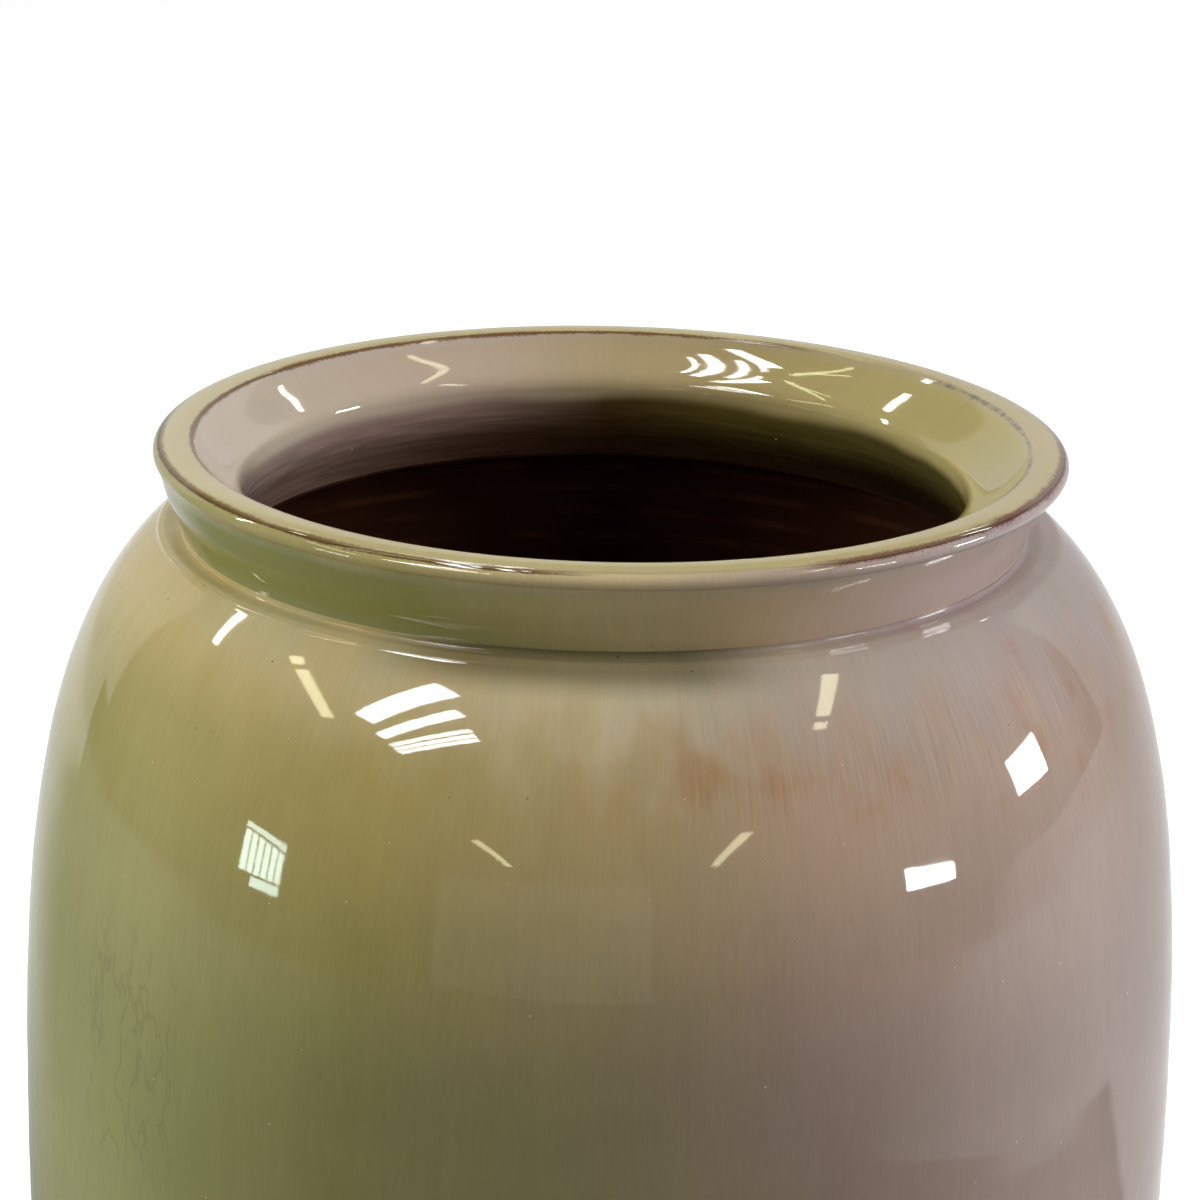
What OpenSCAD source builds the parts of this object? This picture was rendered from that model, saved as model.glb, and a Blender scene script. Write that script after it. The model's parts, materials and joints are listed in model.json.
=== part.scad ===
// Large stoneware vase, thrown in sections, luted together and glazed.
// Z is up, the origin is the middle of the foot on the ground, and lengths are in millimetres.
// Every piece is a ring turned about Z, so each one is a half section swept by lathe().
// A section line runs up the outside, over the lip and down the inside, with the clay on its left.

/* [Overall] */
// Height from the ground to the top of the lip
height = 400; // [380:5:430]
// Widest outside diameter, at the joint between the two thrown body sections
belly_d = 320; // [310:2:330]
// Height of that joint above the ground
belly_z = 185; // [170:5:200]
// Facets round a full turn
facets = 128; // [64:16:192]

/* [Foot] */
// Outside diameter of the unglazed foot ring
foot_d = 198; // [190:1:200]
// Height of the foot ring
foot_h = 9; // [7:0.5:12]
// Width of the foot ring
foot_w = 12; // [10:0.5:16]
// Height of the heel, where the base slab ends and the thrown wall starts
heel_z = 18; // [16:0.5:22]
// Outside diameter at the heel
heel_d = 212; // [210:1:216]
// Angle of the wall at the heel, above the ground
heel_angle = 58; // [54:1:62]

/* [Body wall] */
// Thickness of the wall at the heel
wall_heel = 12; // [10:0.5:13]
// Thickness of the wall at the belly and the shoulder
wall = 8.5; // [7:0.5:10]
// Depth of the V groove in the belly joint
belly_groove = 4; // [2:0.5:6]
// Thickness of the clay coil smoothed over the inside of the belly joint
belly_coil_t = 2.5; // [1:0.5:4]

/* [Shoulder] */
// Diameter where the collar meets the shoulder
seam_d = 224; // [220:1:228]
// Diameter where the flat ledge under the collar turns down into the shoulder
ledge_d = 241.8; // [238:0.2:246]
// Angle of the shoulder below the ledge
shoulder_angle = 40; // [36:1:44]

/* [Collar] */
// Height of the collar, from the seam to the top of the lip
collar_h = 24.2; // [22:0.2:28]
// Outside diameter of the lip roll
lip_d = 243.6; // [241:0.2:246]
// Diameter of the throat, the narrowest place
throat_d = 193; // [188:1:198]
// Height of the straight land in the throat
throat_land = 6; // [4:0.5:8]
// Diameter of the sharp lower edge of the neck
neck_edge_d = 206.8; // [204:0.4:210]
// Depth of that edge below the lip
neck_depth = 35.6; // [35:0.2:38]
// Diameter of the collar's spigot, which drops into the shoulder
spigot_d = 215; // [212:0.5:217]

/* [Glaze] */
// Thickness of the glaze outside and in the throat
glaze = 0.8; // [0.5:0.1:1]
// Thickness of the dark liner glaze inside
liner = 0.7; // [0.4:0.1:1]
// Height where the outside glaze stops above the foot
glaze_line_z = 13; // [11.5:0.5:14]
// How far the rounded bead along that line stands out
bead = 0.5; // [0.2:0.1:0.8]
// Width of the bare clay line on the outer corner of the lip
outer_break = 1; // [0.5:0.1:1.5]
// Width of the bare clay line on the inner corner of the lip
inner_break = 0.6; // [0.3:0.1:0.9]

/* [Hidden] */

BARE_CLAY = [0.56, 0.40, 0.28];
WALL_CLAY = [0.60, 0.45, 0.33];
SLIP_CLAY = [0.50, 0.36, 0.26];
LINER_BROWN = [0.16, 0.08, 0.06];
CREAM = [0.80, 0.75, 0.55];
LIP_CREAM = [0.78, 0.76, 0.54];
COLLAR_OLIVE = [0.45, 0.43, 0.28];
CELADON = [0.72, 0.72, 0.60];
OLIVE_MAUVE = [0.56, 0.50, 0.38];

steps = 36;                // points along each long curve of the body
short_steps = 10;          // points along each short curve of the collar, ledge and coils
heel_coil_step = 4;        // point of the wall where the heel coil ends
belly_coil_steps = 3;      // points that the belly coil covers on each side of its joint
neck_coil_step = 31;       // point of the shoulder where the neck coil starts
scarf_low = 20;            // point where the shoulder glaze starts to lap over the body glaze
scarf_high = 26;           // point where the body glaze has thinned out under it

// Lengths of the curve handles, which set how full each curve is
heel_pull = 60;
belly_pull_down = 66;
belly_pull_up = 86;
shoulder_pull = 47.6;
ledge_pull = 1.4;
seam_pull = 4;
face_pull_low = 7;
face_pull_high = 6;
top_pull = 2.4;
funnel_pull = 9;
throat_pull_up = 6;
throat_pull_down = 6;
neck_pull = 6;
coil_pull_floor = 8;
coil_pull_wall = 6;
coil_pull_shoulder = 7;

// Angles above the horizontal
face_angle_low = 72;
face_angle_high = 60;
funnel_angle = 52;
neck_angle = 60;

ledge_drop = 0.8;          // of the ledge, from the seam out to its edge
roll_foot_in = 1.2;        // foot of the lip roll, in from the lip and down from the top
roll_foot_down = 4.8;
roll_pull_out = 0.4;       // handles of the roll, out from the lip and down from the top
roll_pull_low = 3.8;
roll_pull_high = 1.8;
outer_break_in = 1.9;      // outer bare line, in from the lip and down from the top
outer_break_down = 0.9;
crown = 0.5;               // rise of the top of the lip between its edges
inner_break_in = 0.2;      // inner bare line, in from the seam's radius
inner_break_drop = 0.4;    // and its step down into the funnel
throat_depth = 14.3;       // top of the throat's land, below the top of the lip

foot_edge = 2;             // chamfer of the foot ring
tongue_h = 2;              // tongue of the slab's joint on the foot ring
tongue_margin = 3;
floor_rise = 2;            // step that locates the lower wall on the slab
heel_coil_reach = 13;      // of the heel coil over the floor
neck_coil_full = 1;        // how far the neck coil's curve is pulled out past the spigot
neck_coil_drop = 3.2;      // and down past the neck's lower edge
neck_coil_land = 1.4;      // flat end of the neck coil at the neck's lower edge
under_ledge_drop = 0.6;    // upper end of the neck coil, below the inside of the wall

belly_r = belly_d / 2;
heel_r = heel_d / 2;
foot_r = foot_d / 2;
seam_r = seam_d / 2;
ledge_r = ledge_d / 2;
lip_r = lip_d / 2;
throat_r = throat_d / 2;
neck_edge_r = neck_edge_d / 2;
spigot_r = spigot_d / 2;
seam_z = height - collar_h;
neck_z = height - neck_depth;

// The straight heel, as a curve with its four points in line
heel_run = (heel_z - foot_h) * [1 / tan(heel_angle), 1];
HEEL = [for (i = [0 : 3]) [heel_r, heel_z] - heel_run * (1 - i / 3)];

// The lower thrown section, upright at the belly
LOWER = [
    [heel_r, heel_z],
    [heel_r, heel_z] + heel_pull * [cos(heel_angle), sin(heel_angle)],
    [belly_r, belly_z - belly_pull_down],
    [belly_r, belly_z]
];

// The upper thrown section, round to the shoulder
shoulder_end = [ledge_r, seam_z - ledge_drop];
UPPER = [
    [belly_r, belly_z],
    [belly_r, belly_z + belly_pull_up],
    shoulder_end + shoulder_pull * [cos(shoulder_angle), -sin(shoulder_angle)],
    shoulder_end
];

// The ledge, nearly flat, that turns in under the collar
LEDGE = [
    shoulder_end,
    shoulder_end + ledge_pull * [-cos(shoulder_angle), sin(shoulder_angle)],
    [seam_r + seam_pull, seam_z],
    [seam_r, seam_z]
];

// The collar's hollow outer face, up to the foot of the lip roll
roll_foot = [lip_r - roll_foot_in, height - roll_foot_down];
FACE = [
    [seam_r, seam_z],
    [seam_r, seam_z] + face_pull_low * [cos(face_angle_low), sin(face_angle_low)],
    roll_foot - face_pull_high * [cos(face_angle_high), sin(face_angle_high)],
    roll_foot
];

// The lip roll, round to the bare line on the outer corner
outer_break_r = lip_r - outer_break_in;
ROLL = [
    roll_foot,
    [lip_r + roll_pull_out, height - roll_pull_low],
    [lip_r + roll_pull_out, height - roll_pull_high],
    [outer_break_r, height - outer_break_down]
];

// The gently crowned top of the lip, between the two bare lines
inner_break_r = seam_r - inner_break_in;
TOP = [
    [outer_break_r - outer_break, height - crown],
    [outer_break_r - outer_break - top_pull, height + crown / 3],
    [inner_break_r + top_pull, height + crown / 3],
    [inner_break_r, height - crown]
];

// The funnel from the lip into the throat, the straight land, and the flare below it
throat_top = height - throat_depth;
funnel_top = [inner_break_r - inner_break, height - crown - inner_break_drop];
FUNNEL = [
    funnel_top,
    funnel_top - funnel_pull * [cos(funnel_angle), sin(funnel_angle)],
    [throat_r, throat_top + throat_pull_up],
    [throat_r, throat_top]
];
FLARE = [
    [throat_r, throat_top - throat_land],
    [throat_r, throat_top - throat_land - throat_pull_down],
    [neck_edge_r, neck_z] + neck_pull * [-cos(neck_angle), sin(neck_angle)],
    [neck_edge_r, neck_z]
];

// Curves

function bezier(c, u) =
    pow(1 - u, 3) * c[0] + 3 * u * pow(1 - u, 2) * c[1]
    + 3 * u * u * (1 - u) * c[2] + pow(u, 3) * c[3];

function direction(c, u) =
    let (d = pow(1 - u, 2) * (c[1] - c[0]) + 2 * u * (1 - u) * (c[2] - c[1]) + u * u * (c[3] - c[2]))
    d / norm(d);

// A point set into the clay, square to the curve
function sunk(c, u, depth) =
    let (t = direction(c, u))
    bezier(c, u) + depth * [-t[1], t[0]];

// Points of a curve sunk by one depth, from its point a to its point b
function line(c, depth, n, a = 0, b = undef) =
    [for (i = [a : is_undef(b) ? n : b]) sunk(c, i / n, depth)];

function reversed(list) = [for (i = [len(list) - 1 : -1 : 0]) list[i]];

// The inside of the wall. cover is what lies on the clay there, such as a coil or the liner.

function lower_inside(i, cover) =
    sunk(LOWER, i / steps, glaze + wall_heel + (wall - wall_heel) * i / steps + cover);

function upper_inside(i, cover) = sunk(UPPER, i / steps, glaze + wall + cover);

// Thickness of the belly coil at a number of points away from its joint
function belly_coil_at(i) = belly_coil_t * max(0, 1 - pow(i / belly_coil_steps, 2));

joint_z = sunk(LOWER, 0, glaze)[1];
floor_z = joint_z + floor_rise;
floor_r = lower_inside(0, 0)[0];

// The hollow surface of the heel coil, from the floor up to the wall
heel_coil_end = lower_inside(heel_coil_step, 0);
HEEL_COIL = [
    [floor_r - heel_coil_reach, floor_z],
    [floor_r - heel_coil_reach + coil_pull_floor, floor_z],
    heel_coil_end - coil_pull_wall * direction(LOWER, heel_coil_step / steps),
    heel_coil_end
];

// The full surface of the neck coil, from the shoulder to the underside of the spigot
neck_coil_start = upper_inside(neck_coil_step, 0);
NECK_COIL = [
    neck_coil_start,
    neck_coil_start + coil_pull_shoulder * direction(UPPER, neck_coil_step / steps),
    [spigot_r + neck_coil_full, neck_z - neck_coil_drop],
    [neck_edge_r + neck_coil_land, neck_z]
];

// The surface that the liner glaze lies on, from the middle of the floor to the neck's lower edge
function cavity(cover) = concat(
    [[0, floor_z + cover]],
    line(HEEL_COIL, cover, short_steps),
    [for (i = [heel_coil_step + 1 : steps]) lower_inside(i, cover + belly_coil_at(steps - i))],
    [for (i = [1 : neck_coil_step - 1]) upper_inside(i, cover + belly_coil_at(i))],
    line(NECK_COIL, cover, short_steps, 0, short_steps - 1),
    [[neck_edge_r + neck_coil_land, neck_z - cover], [neck_edge_r, neck_z - cover]]
);

// The corner of the clay under the seam, and the V of the belly joint
seam_corner = [seam_r - glaze, seam_z - glaze];
belly_v = [belly_r - glaze - wall / 2, belly_z - belly_groove];

// Where the upper wall and the neck coil meet on the collar's spigot
under_ledge = [spigot_r, upper_inside(steps, 0)[1] - under_ledge_drop];

// Where the throat glaze ends on the underside of the neck
neck_edge_clay = [neck_edge_r + glaze, neck_z];

module lathe(outline) {
    rotate_extrude($fn = facets) polygon(outline);
}

// Clay

module foot_ring() {
    inner = foot_r - foot_w;
    color(BARE_CLAY) lathe([
        [inner + foot_edge, 0], [foot_r - foot_edge, 0], [foot_r, foot_edge], [foot_r, foot_h],
        [foot_r - tongue_margin, foot_h], [foot_r - tongue_margin, foot_h + tongue_h],
        [inner + tongue_margin, foot_h + tongue_h], [inner + tongue_margin, foot_h],
        [inner, foot_h], [inner, foot_edge]
    ]);
}

module base_slab() {
    inner = foot_r - foot_w;
    color(BARE_CLAY) lathe([
        [0, foot_h], [inner + tongue_margin, foot_h], [inner + tongue_margin, foot_h + tongue_h],
        [foot_r - tongue_margin, foot_h + tongue_h], [foot_r - tongue_margin, foot_h],
        [foot_r, foot_h], sunk(HEEL, 0, glaze), sunk(HEEL, 1, glaze),
        [floor_r, joint_z], [floor_r, floor_z], [0, floor_z]
    ]);
}

module heel_coil() {
    color(SLIP_CLAY) lathe(concat(
        [[floor_r, floor_z]],
        [for (i = [0 : heel_coil_step]) lower_inside(i, 0)],
        reversed(line(HEEL_COIL, 0, short_steps, 0, short_steps - 1))
    ));
}

module lower_wall() {
    color(WALL_CLAY) lathe(concat(
        line(LOWER, glaze, steps),
        [belly_v],
        [for (i = [steps : -1 : 0]) lower_inside(i, 0)],
        [[floor_r, joint_z]]
    ));
}

module belly_coil() {
    below = [for (i = [steps - belly_coil_steps : steps]) i];
    above = [for (i = [1 : belly_coil_steps]) i];
    color(SLIP_CLAY) lathe(concat(
        [for (i = below) lower_inside(i, 0)],
        [for (i = above) upper_inside(i, 0)],
        reversed(concat(
            [for (i = below) if (i > below[0]) lower_inside(i, belly_coil_at(steps - i))],
            [for (i = above) if (i < belly_coil_steps) upper_inside(i, belly_coil_at(i))]
        ))
    ));
}

module upper_wall() {
    color(WALL_CLAY) lathe(concat(
        line(UPPER, glaze, steps),
        line(LEDGE, glaze, short_steps, 1),
        [seam_corner, [spigot_r, seam_corner[1]], under_ledge],
        [for (i = [steps : -1 : 0]) upper_inside(i, 0)],
        [belly_v]
    ));
}

module neck_coil() {
    color(SLIP_CLAY) lathe(concat(
        [for (i = [neck_coil_step : steps]) upper_inside(i, 0)],
        [under_ledge, [spigot_r, neck_z]],
        reversed(line(NECK_COIL, 0, short_steps, 1))
    ));
}

// The glaze on the lip, funnel and roll thins to nothing at the bare lines.
function roll_clay(u) = sunk(ROLL, u, glaze * (1 - pow(u, 2)));
function top_clay(u) = sunk(TOP, u, glaze * 4 * u * (1 - u));
function funnel_clay(u) = sunk(FUNNEL, u, glaze * sqrt(u));

module neck_collar() {
    n = short_steps;
    color(WALL_CLAY) lathe(concat(
        [seam_corner],
        line(FACE, glaze, n),
        [for (i = [1 : n]) roll_clay(i / n)],
        [for (i = [0 : n]) top_clay(i / n)],
        [for (i = [0 : n]) funnel_clay(i / n)],
        line(FLARE, glaze, n, 0, n - 1),
        [neck_edge_clay, [spigot_r, neck_z], [spigot_r, seam_corner[1]]]
    ));
}

// Glaze

module liner_glaze() {
    color(LINER_BROWN) lathe(concat(cavity(0), reversed(cavity(liner))));
}

module throat_glaze() {
    n = short_steps;
    color(CREAM) lathe(concat(
        line(FUNNEL, 0, n),
        line(FLARE, 0, n),
        [neck_edge_clay],
        reversed(line(FLARE, glaze, n, 0, n - 1)),
        [for (i = [n : -1 : 1]) funnel_clay(i / n)]
    ));
}

module lip_glaze() {
    n = short_steps;
    color(LIP_CREAM) lathe(concat(
        line(TOP, 0, n),
        [for (i = [n - 1 : -1 : 1]) top_clay(i / n)]
    ));
}

module collar_glaze() {
    n = short_steps;
    color(COLLAR_OLIVE) lathe(concat(
        line(FACE, 0, n),
        line(ROLL, 0, n, 1),
        [for (i = [n - 1 : -1 : 1]) roll_clay(i / n)],
        reversed(line(FACE, glaze, n)),
        [seam_corner]
    ));
}

// How deep the face between the two outside glazes lies, where they lap
function scarf(i) = sunk(UPPER, i / steps, glaze * (i - scarf_low) / (scarf_high - scarf_low));

module shoulder_glaze() {
    color(CELADON) lathe(concat(
        line(UPPER, 0, steps, scarf_low),
        line(LEDGE, 0, short_steps, 1),
        [seam_corner],
        reversed(line(LEDGE, glaze, short_steps, 1)),
        reversed(line(UPPER, glaze, steps, scarf_high)),
        [for (i = [scarf_high - 1 : -1 : scarf_low + 1]) scarf(i)]
    ));
}

// The rounded bead in which the body glaze ends on the heel
line_u = (glaze_line_z - foot_h) / (heel_z - foot_h);
bead_edge = 6;             // the higher, the steeper the glaze starts at its lower edge

function bead_face(u) =
    sunk(HEEL, line_u + (1 - line_u) * u, glaze * pow(1 - u, bead_edge) - bead * sin(180 * u));

module body_glaze() {
    n = short_steps;
    color(OLIVE_MAUVE) lathe(concat(
        [for (i = [0 : n - 1]) bead_face(i / n)],
        line(LOWER, 0, steps),
        line(UPPER, 0, steps, 1, scarf_low),
        [for (i = [scarf_low + 1 : scarf_high - 1]) scarf(i)],
        reversed(line(UPPER, glaze, steps, 1, scarf_high)),
        reversed(line(LOWER, glaze, steps))
    ));
}

foot_ring();
base_slab();
heel_coil();
lower_wall();
belly_coil();
upper_wall();
neck_coil();
neck_collar();
liner_glaze();
throat_glaze();
lip_glaze();
collar_glaze();
shoulder_glaze();
body_glaze();
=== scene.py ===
"""Looks for the stoneware vase: turned meshes for every piece, their glazes and clays, and a pale studio.

Lengths are in metres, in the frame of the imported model. Sections are worked out in millimetres.
"""

import json
import math

import bpy
import numpy as np
from mathutils import Matrix, Quaternion, Vector


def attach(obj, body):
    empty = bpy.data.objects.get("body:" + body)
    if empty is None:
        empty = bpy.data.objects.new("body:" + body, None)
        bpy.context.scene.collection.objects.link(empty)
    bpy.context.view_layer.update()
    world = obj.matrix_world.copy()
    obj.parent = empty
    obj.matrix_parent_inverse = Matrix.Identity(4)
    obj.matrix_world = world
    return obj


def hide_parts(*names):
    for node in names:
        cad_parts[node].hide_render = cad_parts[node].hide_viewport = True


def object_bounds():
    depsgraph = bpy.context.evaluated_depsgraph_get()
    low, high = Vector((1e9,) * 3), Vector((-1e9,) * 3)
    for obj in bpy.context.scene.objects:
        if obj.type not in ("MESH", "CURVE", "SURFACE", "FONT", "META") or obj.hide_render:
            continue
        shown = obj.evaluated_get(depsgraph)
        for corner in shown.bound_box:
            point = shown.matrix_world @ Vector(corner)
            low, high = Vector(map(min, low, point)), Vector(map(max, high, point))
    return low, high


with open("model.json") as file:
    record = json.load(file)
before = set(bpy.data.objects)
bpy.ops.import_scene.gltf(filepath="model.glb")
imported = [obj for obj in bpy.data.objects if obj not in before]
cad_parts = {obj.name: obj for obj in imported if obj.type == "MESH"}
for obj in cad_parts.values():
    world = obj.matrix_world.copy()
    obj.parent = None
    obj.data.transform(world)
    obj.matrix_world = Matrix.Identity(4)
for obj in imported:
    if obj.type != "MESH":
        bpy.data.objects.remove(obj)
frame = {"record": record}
cad_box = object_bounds()

MM = 0.001

# -------- sizes, in millimetres

HEIGHT = cad_box[1].z / MM
BELLY_R = 160.0
BELLY_Z = 185.0
FOOT_R, FOOT_H, FOOT_W = 99.0, 9.0, 12.0
FOOT_BEVEL = 2.0
HEEL_R, HEEL_Z, HEEL_ANGLE = 106.0, 18.0, 58.0
WALL_HEEL, WALL = 12.0, 8.5             # thickness of the clay at the heel, and from the belly up
BELLY_GROOVE, BELLY_COIL = 4.0, 2.5     # depth of the V of the belly joint, thickness of its coil
SEAM_R, SEAM_Z = 112.0, HEIGHT - 24.2   # the corner where the collar stands on the shoulder
LEDGE_R, SHOULDER_ANGLE = 120.9, 40.0
LIP_R = 121.8
THROAT = frame["record"]["mounts"][1]["dims"]
THROAT_R, THROAT_LAND = THROAT["r_mm"], THROAT["length_mm"]
THROAT_Z = HEIGHT - 14.3    # where the funnel of the mouth ends
NECK_EDGE_R, NECK_Z = 103.4, HEIGHT - 35.6      # the lower edge of the neck, inside
SPIGOT_R = 107.5            # the collar's spigot, which stands in the upper wall
GLAZE, LINER = 0.8, 0.7     # thickness of the glazes outside and inside
GLAZE_LINE_Z, BEAD = 13.0, 0.5          # the glaze's lower edge, and how thick its bead stands out
CROWN = 0.5                 # how far the lip is domed
OUTER_BREAK_R, OUTER_BREAK = LIP_R - 1.9, 1.0   # the lip's outer edge, where the glaze breaks
INNER_BREAK_R, INNER_BREAK = SEAM_R - 0.2, 0.6  # and its inner edge
TONGUE, TONGUE_MARGIN = 2.0, 3.0        # the foot ring's tongue in the base slab
FLOOR_RISE = 2.0            # of the floor above the joint of slab and wall
LINER_LAP = 1.4             # how far from the neck's edge the liner starts
SLIP_RISE = 0.22            # of the slip smoothed round the foot of the collar
COLLAR_SHIFT = 1.2          # how far towards -X the collar was set on
COLLAR_SWELL, SWELL_ANGLE = 1.3, -150.0         # how far it swells at the front left, and where
RING_PITCH = 9.5            # rise of the finger ridges inside in one turn
RING_STRAY, RING_STRAY_RISE, RING_STRAY_START = 0.35, 31.0, 1.1     # how the pitch comes and goes
RING_HEIGHT = 0.55

SEGMENTS = 320          # facets round a full turn
SCARF_LOW, SCARF_HIGH = 20 / 36, 26 / 36    # where the shoulder glaze laps over the body glaze
HEEL_COIL_U = 4 / 36    # where the heel coil ends on the wall
BELLY_COIL_U = 3 / 36   # how far the belly coil reaches on each side of its joint
NECK_COIL_U = 31 / 36   # where the neck coil starts under the shoulder
LEDGE_U, FACE_U = 0.87, 0.075       # between these the glaze fills the corner under the collar


def polar(length, angle):
    """A step in the section, at an angle above the outward direction."""
    return length * np.array([math.cos(math.radians(angle)), math.sin(math.radians(angle))])


def curve(*points):
    """A curve from its two ends and the two handles between them."""
    return np.array(points, float)


def bezier(c, u):
    """Points of a curve at shares u of the way, from 0 to 1."""
    u = np.asarray(u, float)[:, None]
    return (1 - u) ** 3 * c[0] + 3 * u * (1 - u) ** 2 * c[1] + 3 * u * u * (1 - u) * c[2] + u ** 3 * c[3]


heel_top = np.array([HEEL_R, HEEL_Z])
heel_foot = heel_top - (HEEL_Z - FOOT_H) * np.array([1 / math.tan(math.radians(HEEL_ANGLE)), 1])
shoulder_end = np.array([LEDGE_R, SEAM_Z - 0.8])
seam = np.array([SEAM_R, SEAM_Z])
roll_foot = np.array([LIP_R - 1.2, HEIGHT - 4.8])
funnel_top = np.array([INNER_BREAK_R - INNER_BREAK, HEIGHT - CROWN - 0.4])
throat_foot = np.array([THROAT_R, THROAT_Z - THROAT_LAND])
neck_edge = np.array([NECK_EDGE_R, NECK_Z])

HEEL = curve(*[heel_foot + (heel_top - heel_foot) * i / 3 for i in range(4)])
LOWER = curve(heel_top, heel_top + polar(60, HEEL_ANGLE), [BELLY_R, BELLY_Z - 66], [BELLY_R, BELLY_Z])
UPPER = curve(
    [BELLY_R, BELLY_Z], [BELLY_R, BELLY_Z + 86],
    shoulder_end + polar(47.6, -SHOULDER_ANGLE), shoulder_end)
LEDGE = curve(shoulder_end, shoulder_end + polar(1.4, 180 - SHOULDER_ANGLE), seam + [4, 0], seam)
FACE = curve(seam, seam + polar(7, 72), roll_foot - polar(6, 60), roll_foot)
ROLL = curve(
    roll_foot, [LIP_R + 0.4, HEIGHT - 3.8], [LIP_R + 0.4, HEIGHT - 1.8], [OUTER_BREAK_R, HEIGHT - 0.9])
TOP = curve(
    [OUTER_BREAK_R - OUTER_BREAK, HEIGHT - CROWN], [OUTER_BREAK_R - OUTER_BREAK - 2.4, HEIGHT + CROWN / 3],
    [INNER_BREAK_R + 2.4, HEIGHT + CROWN / 3], [INNER_BREAK_R, HEIGHT - CROWN])
POOL = curve(*[bezier(c, [u])[0] for c, u in (
    (LEDGE, LEDGE_U), (LEDGE, 0.95), (FACE, 0.03), (FACE, FACE_U))])
FUNNEL = curve(funnel_top, funnel_top - polar(9, 52), [THROAT_R, THROAT_Z + 6], [THROAT_R, THROAT_Z])
FLARE = curve(throat_foot, throat_foot - [0, 6], neck_edge + polar(6, 120), neck_edge)


# -------- curves and strips

SAME_POINT = 1e-7   # two points nearer than this are one, in millimetres
ON_AXIS = 1e-6      # a point nearer to the axis than this is on it
FLAT_ANGLE = 25     # a side that turns away from its strip by more than this is flat, in degrees


class Strip:
    """Points along a section with the direction of travel at each, the solid being on the left."""

    def __init__(self, points, directions, relief=False):
        self.points, self.directions, self.relief = points, directions, relief

    def back(self):
        """The same strip, travelled the other way."""
        return Strip(self.points[::-1], -self.directions[::-1], self.relief)


def unit(v):
    return v / np.linalg.norm(v, axis=-1, keepdims=True)


def direction(c, u):
    u = np.asarray(u, float)[:, None]
    return unit((1 - u) ** 2 * (c[1] - c[0]) + 2 * u * (1 - u) * (c[2] - c[1]) + u * u * (c[3] - c[2]))


def sunk(c, u, depth=0.0):
    """Points set into the clay, square to the curve."""
    t = direction(c, u)
    return bezier(c, u) + np.asarray(depth, float).reshape(-1, 1) * np.stack([-t[:, 1], t[:, 0]], 1)


def strip_through(points, relief=False):
    """A strip whose directions come from its own points."""
    return Strip(points, unit(np.gradient(points, axis=0)), relief)


def strip(c, n, depth=0.0, a=0.0, b=1.0):
    """n steps of a curve, sunk by one depth or by a function of u."""
    u = np.linspace(a, b, n + 1)
    if callable(depth):
        return strip_through(sunk(c, u, depth(u)))
    return Strip(sunk(c, u, depth), direction(c, u))


def corner(*points):
    """Sharp points, each a strip of its own."""
    return [Strip(np.array([p], float), np.array([[0.0, 0.0]])) for p in points]


def rounded(points, radius, arc=5):
    """A closed outline of straight sides with every corner rounded, except those on the axis."""
    points = np.array(points, float)
    out = []
    for i, p in enumerate(points):
        if p[0] < ON_AXIS:
            out += corner(p)
            continue
        before, after = unit(p - points[i - 1]), unit(points[(i + 1) % len(points)] - p)
        u = np.linspace(0, 1, arc)[:, None]
        start, end = p - before * radius, p + after * radius
        bend = (1 - u) ** 2 * start + 2 * u * (1 - u) * p + u * u * end
        out.append(Strip(bend, unit((1 - u) * (p - start) + u * (end - p))))
    return out


# -------- thrown form

def smooth(v):
    """Eases from 0 to 1 as v does."""
    v = np.clip(v, 0, 1)
    return v * v * (3 - 2 * v)


def wander(theta, z, r):
    """How far the wall strays from a true circle, in millimetres, as a potter's hands leave it."""
    fade = np.clip(z / 40, 0, 1) * np.clip((HEIGHT - 20 - z) / 60, 0, 1)
    oval = 0.10 * np.cos(2 * theta + 0.7) + 0.05 * np.cos(3 * theta - z / 60)
    tight = 0.030 * np.sin(2 * math.pi * z / 17 - theta)
    wide = 0.045 * np.sin(2 * math.pi * z / 43 - theta + 1.3)
    # The collar strays as one piece: from the seam up outside, and from the neck's edge up inside.
    within = np.clip((SPIGOT_R - r) / 3, 0, 1)
    collar = within * smooth((z - HEIGHT + 38) / 12) + (1 - within) * smooth((z - SEAM_Z + 1) / 1.6)
    collar = collar * smooth((HEIGHT - 1 - z) / 13)
    swell = np.clip(np.cos(theta - math.radians(SWELL_ANGLE)), 0, 1) ** 2
    return oval + (tight + wide) * fade + collar * (COLLAR_SWELL * swell - COLLAR_SHIFT * np.cos(theta))


def throwing_rings(theta, z):
    """Height of the finger ridges inside, in millimetres, climbing in a spiral."""
    stray = RING_STRAY * np.sin(z / RING_STRAY_RISE + RING_STRAY_START)
    phase = z / RING_PITCH - theta / (2 * math.pi) + stray
    strength = 0.55 + 0.25 * np.sin(z / 23 + 2 * theta) + 0.2 * np.sin(z / 57)
    return RING_HEIGHT * strength * (0.5 + 0.5 * np.cos(2 * math.pi * phase)) ** 1.5


def outline(strips):
    """Joins strips into rings: their points, the directions after and before each, and which have ridges."""
    points, start, end, relief = [], [], [], []
    for s in strips:
        for point, along in zip(s.points, s.directions):
            if points and np.linalg.norm(point - points[-1]) < SAME_POINT:
                start[-1] = along
                continue
            points.append(point)
            start.append(along)
            end.append(along)
            relief.append(s.relief)
    if np.linalg.norm(points[0] - points[-1]) < SAME_POINT:
        end[0] = end[-1]
        for values in (points, start, end, relief):
            values.pop()
    return np.array(points), np.array(start), np.array(end), np.array(relief)


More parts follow.
